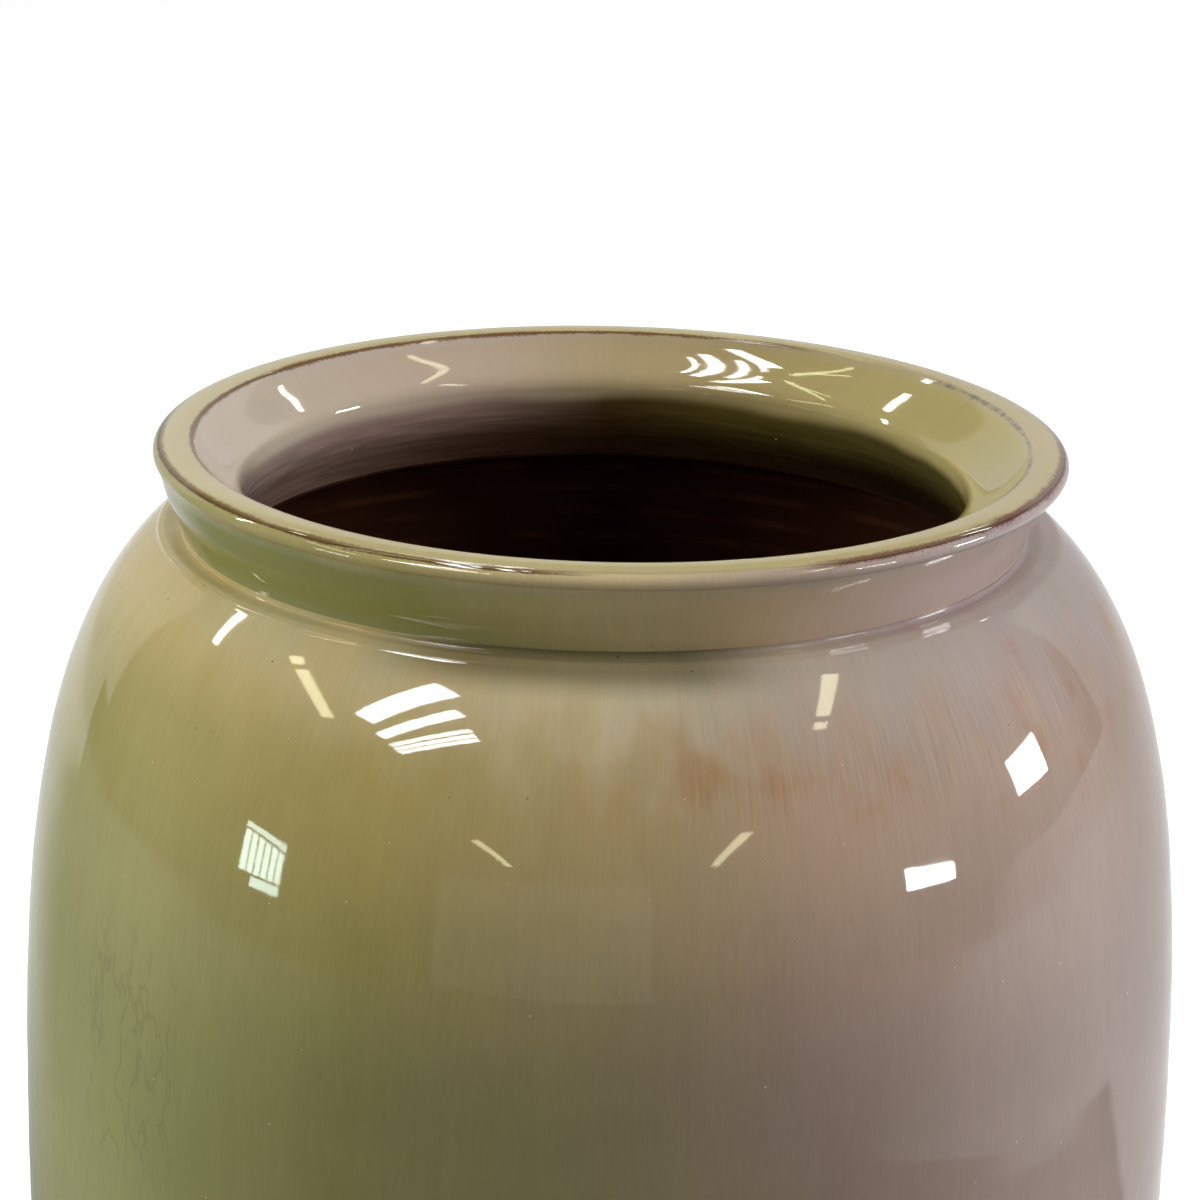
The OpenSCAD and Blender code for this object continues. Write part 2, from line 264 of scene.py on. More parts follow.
def side_directions(points, start, end):
    """The direction at both ends of every side. A side that turns away from its strip is a flat one."""
    straight = unit(np.roll(points, -1, axis=0) - points + 1e-12)
    t0, t1 = start.copy(), np.roll(end, -1, axis=0)
    for t in (t0, t1):
        flat = (t * straight).sum(1) < math.cos(math.radians(FLAT_ANGLE))
        t[flat] = straight[flat]
    return t0, t1


def add_object(name, data):
    """A new object in the scene."""
    thing = bpy.data.objects.new(name, data)
    bpy.context.scene.collection.objects.link(thing)
    return thing


def add_mesh(name, verts, faces, normals, material):
    """A smooth mesh with its own normals, one for each corner of each face."""
    used = np.unique(np.concatenate([np.array(f) for f in faces]))
    renumber = np.zeros(len(verts), int)
    renumber[used] = np.arange(len(used))
    mesh = bpy.data.meshes.new(name)
    mesh.from_pydata(verts[used].tolist(), [], [[int(renumber[v]) for v in f] for f in faces])
    mesh.shade_smooth()
    mesh.normals_split_custom_set(np.concatenate(normals).tolist())
    mesh.materials.append(material)
    return add_object(name, mesh)


def lathe(name, strips, nodes, material, rings=False, drift=None):
    """Turns an outline about Z into a smooth closed mesh that stands for CAD nodes."""
    points, start, end, relief = outline(strips)
    t0, t1 = side_directions(points, start, end)
    theta = np.arange(SEGMENTS) * 2 * math.pi / SEGMENTS
    r = points[:, :1] + 0 * theta
    z = points[:, 1:] + 0 * theta
    th = theta + 0 * r
    if drift is not None:
        z = z + drift(th, z)
    if rings:
        away = 0.5 * np.stack([(start + end)[:, 1], -(start + end)[:, 0]], 1)
        lift = throwing_rings(th, z) * relief[:, None]
        r = r + away[:, :1] * lift
        z = z + away[:, 1:] * lift
    on_axis = points[:, 0] < ON_AXIS
    # The radius before it strays tells the collar's outside from its inside.
    true_r = r
    r = np.where(on_axis[:, None], 0, r + wander(th, z, true_r) * np.clip(r / 60, 0, 1))
    verts = np.stack([r * np.cos(th), r * np.sin(th), z], 2).reshape(-1, 3) * MM

    rise, turn = 0.5, 0.01
    slope_z = (wander(th, z + rise, true_r) - wander(th, z - rise, true_r)) / (2 * rise)
    slope_th = (wander(th + turn, z, true_r) - wander(th - turn, z, true_r)) / (2 * turn)
    along_r, along_z = np.gradient(r, axis=0), np.gradient(z, axis=0)

    def turned_normals(i, t):
        """Normals of ring i for a side travelling in direction t."""
        along = t[1] * slope_z[i] + t[0]
        swing = -slope_th[i] * t[1] / np.maximum(r[i], 1)
        return unit(np.stack([
            t[1] * np.cos(theta) - swing * np.sin(theta),
            t[1] * np.sin(theta) + swing * np.cos(theta), -along + 0 * theta], 1))

    def ridged_normals(i):
        """Normals of ring i from the rings on both sides of it."""
        return unit(np.stack([along_z[i] * np.cos(theta), along_z[i] * np.sin(theta), -along_r[i]], 1))

    count = len(points)
    grid = np.arange(count * SEGMENTS).reshape(count, SEGMENTS)
    grid[on_axis] = grid[on_axis][:, :1]
    faces, normals = [], []
    for i in range(count):
        k = (i + 1) % count
        if on_axis[i] and on_axis[k]:
            continue
        if rings and relief[i] and relief[k]:
            na, nb = ridged_normals(i), ridged_normals(k)
        else:
            na, nb = turned_normals(i, t0[i]), turned_normals(k, t1[i])
        a, b = grid[i], grid[k]
        quads = np.stack([a, np.roll(a, -1), np.roll(b, -1), b], 1)
        at_corners = np.stack([na, np.roll(na, -1, 0), np.roll(nb, -1, 0), nb], 1)
        if on_axis[i]:
            quads, at_corners = quads[:, [0, 2, 3]], at_corners[:, [0, 2, 3]]
        elif on_axis[k]:
            quads, at_corners = quads[:, [0, 1, 2]], at_corners[:, [0, 1, 2]]
        faces += quads.tolist()
        normals.append(at_corners.reshape(-1, 3))

    piece = add_mesh(name, verts, faces, normals, material)
    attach(piece, "root")
    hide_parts(*nodes)
    return piece


# -------- node helpers

class Nodes:
    """Short calls that build a material. A value is a number, a colour or another node's socket."""

    def __init__(self, name):
        self.material = bpy.data.materials.new(name)
        self.material.use_nodes = True
        self.tree = self.material.node_tree
        self.shader = self.tree.nodes["Principled BSDF"]

    def put(self, socket, value):
        if isinstance(value, bpy.types.NodeSocket):
            self.tree.links.new(value, socket)
        elif isinstance(value, tuple) and len(value) == 3 and socket.type == "RGBA":
            socket.default_value = (*value, 1)
        else:
            socket.default_value = value

    def shade(self, inputs):
        for key, value in inputs.items():
            self.put(self.shader.inputs[key], value)

    def node(self, kind, inputs=(), **settings):
        node = self.tree.nodes.new("ShaderNode" + kind)
        for key, value in settings.items():
            setattr(node, key, value)
        for key, value in dict(inputs).items():
            self.put(node.inputs[key], value)
        return node

    def math(self, operation, *values):
        return self.node("Math", enumerate(values), operation=operation).outputs[0]

    def add(self, *values):
        total = values[0]
        for value in values[1:]:
            total = self.math("ADD", total, value)
        return total

    def times(self, *values):
        total = values[0]
        for value in values[1:]:
            total = self.math("MULTIPLY", total, value)
        return total

    def span(self, value, start, end, low=0.0, high=1.0):
        """Eases from low to high as a value goes from start to end."""
        inputs = {"Value": value, "From Min": start, "From Max": end, "To Min": low, "To Max": high}
        return self.node("MapRange", inputs, interpolation_type="SMOOTHSTEP").outputs["Result"]

    def length(self, a, b):
        """How long two steps at a right angle are together."""
        return self.math("SQRT", self.add(self.times(a, a), self.times(b, b)))

    def mix(self, factor, a, b, blend="MIX"):
        return self.node("Mix", {0: factor, 6: a, 7: b}, data_type="RGBA", blend_type=blend).outputs[2]

    def tint(self, factor, colour, by):
        """Multiplies a colour, by a factor of the way."""
        return self.mix(factor, colour, by, "MULTIPLY")

    def ramp(self, factor, stops):
        node = self.node("ValToRGB", {"Fac": factor})
        elements = node.color_ramp.elements
        while len(elements) < len(stops):
            elements.new(0.5)
        for element, (position, colour) in zip(elements, stops):
            element.position = position
            element.color = (*colour, 1)
        return node.outputs["Color"]

    def noise(self, vector, size, detail=2.0, roughness=0.5):
        """Noise whose features are about a size across, from 0 to 1."""
        inputs = {"Vector": vector, "Scale": 1 / size, "Detail": detail, "Roughness": roughness}
        return self.node("TexNoise", inputs).outputs["Fac"]

    def spots(self, vector, spacing, radius):
        """Scattered dots up to a radius: 1 inside, 0 outside."""
        node = self.node("TexVoronoi", {"Vector": vector, "Scale": 1 / spacing})
        return self.span(node.outputs["Distance"], radius / spacing, 0.4 * radius / spacing)

    def shifted(self, vector, offset, scale=(1, 1, 1)):
        return self.node("Mapping", {"Vector": vector, "Location": offset, "Scale": scale}).outputs[0]

    def bump(self, height):
        """Relief whose height is in millimetres."""
        return self.node("Bump", {"Height": height, "Distance": MM, "Strength": 1.0}).outputs["Normal"]


class Pot(Nodes):
    """A material laid out round the vase's axis, in millimetres.

    Side runs from -1 at -X to 1 at +X, and front from -1 at the front to 1 at the back.
    """

    def __init__(self, name):
        super().__init__(name)
        metres = self.node("TexCoord").outputs["Object"]
        self.point = self.node("VectorMath", {0: metres, 1: (1 / MM,) * 3}, operation="MULTIPLY").outputs[0]
        split = self.node("SeparateXYZ", {0: self.point})
        x, y, self.z = split.outputs
        self.radius = self.math("MAXIMUM", self.length(x, y), 0.01)
        self.side = self.math("DIVIDE", x, self.radius)
        self.front = self.math("DIVIDE", y, self.radius)
        self.around = self.node("CombineXYZ", {
            0: self.times(self.side, BELLY_R), 1: self.times(self.front, BELLY_R), 2: self.z}).outputs[0]

    def streaks(self, width, length, offset=0.0, detail=2.0):
        """Noise drawn out up and down the wall."""
        drawn = self.shifted(self.around, (offset, offset, offset), (1, 1, width / length))
        return self.noise(drawn, width, detail)

    def from_edge(self, radius, z):
        """Distance from a circle round the axis."""
        return self.length(self.math("SUBTRACT", self.radius, radius), self.math("SUBTRACT", self.z, z))


# -------- glazes

# Painted coloured light: the ash glaze is olive on the side that faces -X, as a greenish lamp there tints
# it, khaki in between and mauve towards +X, as a pinkish lamp there tints it, and the other way round inside
# the mouth. Each row runs from -X to +X.
SIDES = (0.05, 0.30, 0.50, 0.67, 0.90)
# The body rows grow paler upwards: partly the glaze's own colour, partly painted light from above on the
# shoulder.
BODY_LOW = (
    (0.41, 0.42, 0.17), (0.29, 0.28, 0.09), (0.34, 0.29, 0.135), (0.37, 0.264, 0.21), (0.47, 0.355, 0.32))
BODY_HIGH = (
    (0.47, 0.42, 0.17), (0.55, 0.445, 0.15), (0.61, 0.47, 0.23), (0.62, 0.44, 0.31), (0.54, 0.41, 0.34))
NECK = (
    (0.59, 0.47, 0.20), (0.70, 0.56, 0.29), (0.75, 0.63, 0.39), (0.60, 0.48, 0.37), (0.52, 0.42, 0.40))
COLLAR_FACE = (
    (0.28, 0.29, 0.08), (0.36, 0.35, 0.095), (0.70, 0.57, 0.28), (0.70, 0.52, 0.32), (0.66, 0.51, 0.48))
ROLL_BAND = (
    (0.42, 0.38, 0.16), (0.55, 0.46, 0.18), (0.76, 0.61, 0.33), (0.58, 0.45, 0.34), (0.54, 0.43, 0.42))
FUNNEL_FACE = (
    (0.66, 0.55, 0.43), (0.58, 0.45, 0.34), (0.49, 0.38, 0.21), (0.45, 0.35, 0.15), (0.50, 0.42, 0.17))
# The throat and the neck inside: painted shade, darker than the funnel's glaze, with painted coloured light
# on the -X side.
THROAT_SHADE = (
    (0.36, 0.26, 0.23), (0.33, 0.22, 0.18), (0.09, 0.05, 0.016), (0.125, 0.095, 0.019), (0.085, 0.07, 0.018))
NECK_INSIDE_SHADE = (
    (0.28, 0.18, 0.15), (0.17, 0.09, 0.06), (0.12, 0.06, 0.02), (0.07, 0.045, 0.012), (0.03, 0.018, 0.006))
RUST = (0.93, 0.72, 0.55)
IRON = (0.085, 0.036, 0.020)
IRON_RED = (0.16, 0.065, 0.040)
PALE_SPECK = (0.78, 0.72, 0.50)
CELADON = (0.50, 0.56, 0.40)
DARK_STROKE, PALE_STROKE = (0.36, 0.24, 0.16), (0.86, 0.74, 0.58)
THIN_GLAZE = (0.20, 0.12, 0.06)
LAMP_TINT_WANDER = 0.28     # how far the borders between the painted lamp tints wander


def painted_lamp_tints(pot, colours):
    """A row of colours round the vase, painted coloured light from the two sides, their borders wandering a
    little.
    """
    stray = pot.times(pot.add(pot.noise(pot.point, 70, 3), -0.5), LAMP_TINT_WANDER)
    place = pot.add(pot.times(pot.add(pot.side, stray), 0.5), 0.5)
    return pot.ramp(place, list(zip(SIDES, colours)))


def gloss(pot, colour, roughness=0.025):
    """A fired glaze: clear and glassy, with the faint ripple of a surface that flowed."""
    clouds = pot.span(pot.noise(pot.around, 14, 3), 0.3, 0.75, roughness, roughness + 0.03)
    grain = pot.times(pot.noise(pot.point, 0.9, 2), 0.0016)
    ripple = pot.times(pot.noise(pot.point, 4, 2), 0.003)
    swell = pot.times(pot.noise(pot.point, 26, 1), 0.02)
    relief = pot.bump(pot.add(grain, ripple, swell))
    pot.shade({"Base Color": colour, "IOR": 1.5, "Roughness": clouds, "Normal": relief})
    return pot.material


def mottled(pot, colour, amount=1.0):
    """Fine runs down the wall, broader drifts and soft clouds."""
    runs = pot.streaks(0.8, 9, 3)
    drifts = pot.streaks(5, 50, 9)
    clouds = pot.noise(pot.shifted(pot.point, (50, 20, 7)), 42, 4)
    level = pot.add(
        pot.span(runs, 0.25, 0.75, -0.026 * amount, 0.026 * amount),
        pot.span(drifts, 0.3, 0.7, -0.014 * amount, 0.014 * amount),
        pot.span(clouds, 0.3, 0.7, -0.035 * amount, 0.035 * amount), 1.0)
    return pot.node("VectorMath", {0: colour, "Scale": level}, operation="SCALE").outputs[0]


def specked(pot, colour, iron_above=330):
    """Small pale specks everywhere, and iron ones that are darker above a height."""
    pale = pot.spots(pot.point, 9, 0.36)
    colour = pot.mix(pot.times(pale, 0.75), colour, PALE_SPECK)
    iron = pot.spots(pot.shifted(pot.point, (31, 17, 5)), 11, 0.42)
    more = pot.span(pot.z, iron_above, iron_above + 40, 0.25, 0.8)
    return pot.mix(pot.times(iron, more), colour, IRON)


def brush_strokes(pot, colour):
    """The neck is paler, partly in its glaze and partly as painted light from above; it was brushed on in
    strokes that end in a rusty fringe on the side towards +X.
    """
    uneven = pot.noise(pot.shifted(pot.point, (9, 9, 9)), 60, 2)
    brushed = pot.times(pot.span(pot.side, -0.25, 0.25), pot.span(uneven, 0.3, 0.5))
    bristles = pot.span(pot.streaks(0.85, 14, 40, 2), 0.3, 0.7, -1, 1)
    patches = pot.span(pot.streaks(14, 18, 80, 3), 0.3, 0.7, -8, 8)
    patches = pot.times(patches, pot.span(pot.side, -0.5, 0.1, 0.25, 1))
    reach = pot.add(pot.z, patches, pot.times(bristles, brushed, 3))
    colour = pot.mix(pot.span(reach, 346, 372), colour, painted_lamp_tints(pot, NECK))
    band = pot.times(pot.span(reach, 328, 350), pot.span(reach, 370, 352))
    blotch = pot.span(pot.noise(pot.shifted(pot.around, (7, 60, 3)), 15, 3), 0.46, 0.72, 0.08, 0.75)
    colour = pot.tint(pot.times(band, blotch, pot.add(pot.times(brushed, 0.75), 0.25)), colour, RUST)
    fringe = pot.times(pot.span(pot.z, 338, 352), pot.span(pot.z, 371, 362), brushed)
    colour = pot.mix(pot.times(fringe, pot.span(bristles, 0.1, 1), 0.15), colour, DARK_STROKE)
    return pot.mix(pot.times(fringe, pot.span(bristles, -0.1, -1), 0.10), colour, PALE_STROKE)


def collar_foot(pot, colour):
    """A green wash below the collar, its shade at the front, and the dark line of the seam."""
    wash = pot.span(pot.noise(pot.shifted(pot.around, (90, 5, 0), (1, 1, 0.5)), 30, 2), 0.42, 0.66)
    colour = pot.mix(pot.times(wash, 0.22, pot.span(pot.z, 362, 373)), colour, CELADON)
    under = pot.times(pot.span(pot.radius, 127.5, 120.5), pot.span(pot.z, SEAM_Z - 9, SEAM_Z - 6))
    aside = pot.math("ABSOLUTE", pot.add(pot.side, 0.06))
    shaded = pot.times(under, pot.span(pot.front, 0, -0.5), pot.span(aside, 0.48, 0.2))
    colour = pot.tint(shaded, colour, (0.40, 0.39, 0.33))
    line = pot.times(pot.span(pot.from_edge(SEAM_R, SEAM_Z), 2.8, 0.8), 0.7)
    dark = pot.mix(pot.span(pot.side, -0.2, 0.5), (0.50, 0.62, 0.42), (0.85, 0.78, 0.85))
    return pot.tint(line, colour, dark)


def deeper_sides(pot, colour):
    """The colours are deeper at both sides, most of all from the belly up to the shoulder."""
    below_neck = pot.span(pot.z, 372, 320)
    left = pot.times(pot.span(pot.side, -0.72, -1.0), below_neck, pot.span(pot.z, 200, 310))
    colour = pot.tint(left, colour, (0.80, 0.81, 0.66))
    colour = pot.tint(pot.span(pot.side, 0.80, 0.98), colour, (0.77, 0.74, 0.72))
    right = pot.times(pot.span(pot.side, 0.72, 1.0), below_neck, pot.span(pot.z, 180, 310))
    return pot.tint(right, colour, (0.86, 0.82, 0.78))


def drip_marks(pot, colour):
    """Thin marks that ran down the front of the body, on the side towards -X."""
    drawn = pot.noise(pot.shifted(pot.around, (40, 3, 8), (1, 1, 0.35)), 9, 3)
    line = pot.span(pot.math("ABSOLUTE", pot.add(drawn, -0.5)), 0.024, 0.008)
    marked = pot.times(
        pot.span(pot.side, -0.85, -0.80), pot.span(pot.side, -0.64, -0.70), pot.span(pot.front, 0, -0.2),
        pot.span(pot.z, 225, 245), pot.span(pot.z, 305, 285), line, 0.45)
    return pot.tint(marked, colour, (0.72, 0.70, 0.72))


def body_glaze(name):
    """The ash glaze of body and shoulder, deeper at the heel and thin at its lower edge."""
    pot = Pot(name)
    # Paler from the belly up to the shoulder: partly the glaze, partly painted light from above.
    colour = pot.mix(pot.span(pot.z, 268, 350), painted_lamp_tints(pot, BODY_LOW), painted_lamp_tints(pot, BODY_HIGH))
    for layer in (brush_strokes, collar_foot, deeper_sides, drip_marks):
        colour = layer(pot, colour)
    colour = pot.tint(pot.span(pot.z, 60, 14), colour, (0.80, 0.80, 0.78))
    colour = specked(pot, mottled(pot, colour))
    edge = pot.times(pot.span(pot.z, GLAZE_LINE_Z + 5, GLAZE_LINE_Z), 0.75)
    return gloss(pot, pot.mix(edge, colour, THIN_GLAZE))


def broken_edge(pot, colour, radius, z, width, iron, strength):
    """Iron showing where the glaze has run thin over an edge."""
    ragged = pot.noise(pot.point, 0.9, 3)
    slow = pot.noise(pot.shifted(pot.around, (0, 0, 40)), 16, 3)
    reach = pot.times(pot.span(ragged, 0.3, 0.7, 0.75, 1.25), pot.span(slow, 0.3, 0.7, 0.65, 1.25), width)
    share = pot.math("DIVIDE", pot.from_edge(radius, z), reach)
    line = pot.times(pot.span(share, 1.0, 0.25), strength)
    return pot.mix(line, colour, iron)


def outer_edge(pot, colour):
    """Brown and speckled, redder and wider on the +X side, and covered by glaze at the front."""
    iron = pot.mix(pot.span(pot.side, -0.2, 0.6), (0.20, 0.115, 0.035), (0.20, 0.085, 0.055))
    aside = pot.math("ABSOLUTE", pot.add(pot.side, -0.16))
    gap = pot.times(pot.span(aside, 0.34, 0.14), pot.span(pot.front, 0, -0.5))
    strength = pot.times(pot.math("SUBTRACT", 0.85, pot.times(gap, 0.85)), pot.span(pot.front, 0.3, -0.05))
    wide = pot.span(pot.side, 0.2, 0.7, 1.25, 1.9)
    colour = broken_edge(pot, colour, OUTER_BREAK_R + 0.1, HEIGHT - 0.95, wide, iron, strength)
    faint = pot.times(strength, 0.8)
    colour = broken_edge(pot, colour, OUTER_BREAK_R + 0.55, HEIGHT - 1.25, 0.55, IRON, faint)
    dust = pot.spots(pot.shifted(pot.point, (3, 9, 2)), 1.3, 0.36)
    near = pot.span(pot.from_edge(OUTER_BREAK_R + 0.6, HEIGHT - 1.4), 3.0, 0.8)
    dusted = pot.times(dust, near, pot.span(pot.side, 0.1, 0.6, 0.2, 0.7), strength)
    return pot.mix(dusted, colour, IRON_RED)


def inner_edge(pot, colour):
    """A thin brown line, blue-grey where the glaze pooled on the +X side."""
    iron = pot.mix(pot.span(pot.side, 0.5, 0.8), (0.21, 0.11, 0.045), (0.20, 0.19, 0.18))
    broken = pot.span(pot.noise(pot.point, 4, 3), 0.40, 0.60, 0.25, 0.8)
    broken = pot.times(broken, pot.span(pot.side, 0.78, 0.86, 0.15, 1))
    beyond = pot.span(pot.side, 0.42, 0.58)
    strength = pot.add(0.95, pot.times(beyond, pot.add(broken, -0.95)))
    return broken_edge(pot, colour, INNER_BREAK_R - 0.25, HEIGHT - 0.7, 1.15, iron, strength)


def lip_glaze():
    """Even and yellowish on the flat of the lip, a little matter than the rest."""
    pot = Pot("glaze_lip")
    back = pot.mix(pot.span(pot.front, -0.7, 0.6), (0.60, 0.51, 0.25), (0.64, 0.55, 0.30))
    colour = pot.mix(pot.span(pot.side, 0.2, 0.9), back, (0.59, 0.49, 0.26))
    colour = pot.mix(pot.span(pot.side, -0.5, -0.9), colour, (0.67, 0.58, 0.33))
    colour = mottled(pot, colour, 0.5)
    colour = specked(pot, outer_edge(pot, inner_edge(pot, colour)), 600)
    return gloss(pot, colour, roughness=0.10)


def broken_clay():
    """The collar's clay, which shows only where the glaze has broken at the two edges of the lip."""
    pot = Pot("clay_collar")
    inside = pot.span(pot.radius, SEAM_R, SEAM_R + 3)
    colour = pot.mix(inside, inner_edge(pot, (0.52, 0.44, 0.26)), outer_edge(pot, (0.56, 0.47, 0.25)))
    return gloss(pot, mottled(pot, colour, 0.6), roughness=0.10)


def collar_glaze():
    """The collar's outside: deep at the seam, where the glaze pooled, and lighter on the rolled lip."""
    pot = Pot("glaze_collar")
    stray = pot.span(pot.noise(pot.point, 18, 2), 0.3, 0.7, -0.8, 0.8)
    lip = pot.span(pot.add(pot.z, stray), HEIGHT - 7.2, HEIGHT - 4.2)
    colour = pot.mix(lip, painted_lamp_tints(pot, COLLAR_FACE), painted_lamp_tints(pot, ROLL_BAND))
    pooled = pot.times(pot.span(pot.z, HEIGHT - 17, SEAM_Z + 0.5), pot.span(pot.side, 0.2, -0.6, 0.1, 0.55))
    colour = pot.mix(pooled, colour, (0.36, 0.42, 0.23))
    under = pot.times(pot.span(pot.math("ABSOLUTE", pot.add(pot.z, 6.4 - HEIGHT)), 1.6, 0.2), 0.22)
    colour = pot.mix(under, colour, CELADON)
    colour = specked(pot, outer_edge(pot, mottled(pot, colour, 0.8)), 370)
    return gloss(pot, colour)


def throat_glaze():
    """The inside of the mouth: light on the funnel, then deep brown down to the neck's edge, which is
    painted shade of the throat.
    """
    pot = Pot("glaze_throat")
    stray = pot.span(pot.noise(pot.point, 34, 1), 0.3, 0.7, -0.8, 0.8)
    level = pot.add(pot.z, stray)
    # Below the funnel the colour darkens into painted shade of the throat and neck.
    inside = pot.span(level, THROAT_Z - 0.3, THROAT_Z - 4.3)
    colour = pot.mix(inside, painted_lamp_tints(pot, FUNNEL_FACE), painted_lamp_tints(pot, THROAT_SHADE))
    colour = pot.mix(pot.span(level, THROAT_Z - 6, THROAT_Z - 15), colour, painted_lamp_tints(pot, NECK_INSIDE_SHADE))
    haze = pot.times(pot.span(pot.z, HEIGHT - 3.5, HEIGHT - 1), pot.span(pot.side, 0.1, -0.5, 0.15, 0.5))
    colour = pot.mix(haze, colour, (0.62, 0.55, 0.50))
    rings = pot.noise(pot.shifted(pot.around, (5, 5, 5), (0.04, 0.04, 1)), 1.4, 2)
    bands = pot.times(pot.span(pot.z, THROAT_Z - 2, THROAT_Z - 8), pot.span(rings, 0.3, 0.7, 0, 0.55))
    colour = pot.tint(bands, colour, (0.45, 0.40, 0.38))
    return gloss(pot, specked(pot, inner_edge(pot, mottled(pot, colour, 0.5)), 600))


def liner_glaze():
    """Iron-brown and nearly black, lighter where it runs thin over the throwing ridges."""
    pot = Pot("glaze_liner")
    turns = pot.math("DIVIDE", pot.math("ARCTAN2", pot.front, pot.side), 2 * math.pi)
    stray = pot.math("SINE", pot.add(pot.times(pot.z, 1 / RING_STRAY_RISE), RING_STRAY_START))
    phase = pot.add(pot.times(pot.z, 1 / RING_PITCH), pot.times(turns, -1), pot.times(stray, RING_STRAY))
    ridge = pot.span(pot.math("COSINE", pot.times(phase, 2 * math.pi)), 0.2, 1.0)
    patches = pot.span(pot.streaks(30, 12, 21, 3), 0.4, 0.65)
    colour = pot.mix(pot.times(ridge, patches, 0.7), (0.095, 0.030, 0.014), (0.24, 0.095, 0.050))
    broad = pot.span(pot.noise(pot.shifted(pot.point, (2, 8, 1)), 60, 3), 0.35, 0.65, 0.0, 0.5)
    colour = pot.mix(broad, colour, (0.13, 0.055, 0.028))
    # Painted shade: the liner is darkened just under the neck's edge, inside the shoulder.
    colour = pot.tint(pot.span(pot.z, NECK_Z - 7, NECK_Z - 2), colour, (0.25, 0.25, 0.25))
    return gloss(pot, colour, roughness=0.16)


# -------- clays

def clay(name, dark, light, coarse):
    """Iron-bearing stoneware with grog: speckled, gritty and ringed by the turning tool."""
    pot = Pot(name)
    cloud = pot.noise(pot.point, 24, 4)
    grain = pot.noise(pot.shifted(pot.point, (4, 4, 9)), 0.9, 4, 0.7)
    blend = pot.add(pot.times(cloud, 0.65), pot.times(grain, 0.35))
    colour = pot.mix(pot.span(blend, 0.35, 0.65), dark, light)
    grog = pot.spots(pot.point, 2.6, 0.55)
    colour = pot.mix(pot.times(grog, 0.7), colour, (0.58, 0.47, 0.34))
    iron = pot.spots(pot.shifted(pot.point, (13, 3, 8)), 3.4, 0.40)
    colour = pot.mix(pot.times(iron, 0.8), colour, IRON)
    turned = pot.node("CombineXYZ", {0: pot.radius, 1: pot.times(pot.side, 3), 2: pot.z}).outputs[0]
    rings = pot.noise(turned, 1.1, 2)
    colour = pot.tint(pot.span(rings, 0.3, 0.7, 0, 0.5), colour, (0.86, 0.83, 0.80))
    toasted = pot.span(pot.add(pot.z, pot.times(cloud, 3)), GLAZE_LINE_Z - 4.5, GLAZE_LINE_Z + 1)
    colour = pot.mix(pot.times(toasted, coarse, 0.6), colour, (0.36, 0.15, 0.07))
    relief = pot.add(pot.times(grain, 0.16), pot.times(rings, 0.14), pot.times(grog, 0.07))
    pot.shade({
        "Base Color": colour, "Roughness": pot.span(grain, 0.2, 0.8, 0.73, 0.93),
        "Specular IOR Level": 0.3, "Normal": pot.bump(pot.times(relief, coarse))})
    return pot.material


BARE_CLAY = clay("clay_bare", (0.20, 0.105, 0.055), (0.34, 0.205, 0.12), 1.0)
WALL_CLAY = clay("clay_wall", (0.28, 0.22, 0.16), (0.42, 0.34, 0.25), 0.6)
LUTING_CLAY = clay("clay_luting", (0.17, 0.12, 0.085), (0.27, 0.20, 0.14), 0.5)

# -------- the pieces

def wall_inside(c, u, cover=0.0):
    """The inside of the thrown wall, under a cover such as the liner or a coil."""
    u = np.asarray(u, float)
    if c is LOWER:
        return sunk(c, u, GLAZE + WALL_HEEL + (WALL - WALL_HEEL) * u + cover)
    return sunk(c, u, GLAZE + WALL + cover + 0 * u)


def belly_coil_at(gap):
    """Thickness of the belly coil at a distance along the curve from its joint."""
    return BELLY_COIL * np.maximum(0, 1 - (gap / BELLY_COIL_U) ** 2)


joint_z = sunk(LOWER, [0], GLAZE)[0, 1]
floor_z = joint_z + FLOOR_RISE
floor_r = wall_inside(LOWER, [0])[0, 0]
coil_end = wall_inside(LOWER, [HEEL_COIL_U])[0]
HEEL_FILLET = curve([floor_r - 13, floor_z], [floor_r - 5, floor_z],
                    coil_end - 6 * direction(LOWER, [HEEL_COIL_U])[0], coil_end)
coil_start = wall_inside(UPPER, [NECK_COIL_U])[0]
NECK_FILLET = curve(coil_start, coil_start + 7 * direction(UPPER, [NECK_COIL_U])[0],
                    [SPIGOT_R + 1, NECK_Z - 3.2], [NECK_EDGE_R + LINER_LAP, NECK_Z])
seam_corner = np.array([SEAM_R - GLAZE, SEAM_Z - GLAZE])
belly_v = np.array([BELLY_R - GLAZE - WALL / 2, BELLY_Z - BELLY_GROOVE])
neck_edge_clay = np.array([NECK_EDGE_R + GLAZE, NECK_Z])
under_ledge = np.array([SPIGOT_R, wall_inside(UPPER, [1])[0, 1] - 0.6])


def cavity(cover, fine=1):
    """The inside surface, from the middle of the floor to the neck's lower edge."""
    low = np.linspace(HEEL_COIL_U, 1, round(60 * fine))[1:]
    high = np.linspace(0, NECK_COIL_U, round(60 * fine))[1:-1]
    floor = np.stack([np.linspace(0, floor_r - 13, 10), np.full(10, floor_z + cover)], 1)[:-1]
    return np.concatenate([
        floor,
        sunk(HEEL_FILLET, np.linspace(0, 1, 16), cover),
        wall_inside(LOWER, low, cover + belly_coil_at(1 - low)),
        wall_inside(UPPER, high, cover + belly_coil_at(high)),
        sunk(NECK_FILLET, np.linspace(0, 0.96, 16), cover),
    ])


def roll_depth(u):
    """Thickness of the glaze, which runs out at the lip's outer edge."""
    return GLAZE * (1 - u * u)


def top_depth(u):
    """Thickest in the middle of the lip, and nothing at its two edges."""
    return GLAZE * 4 * u * (1 - u)


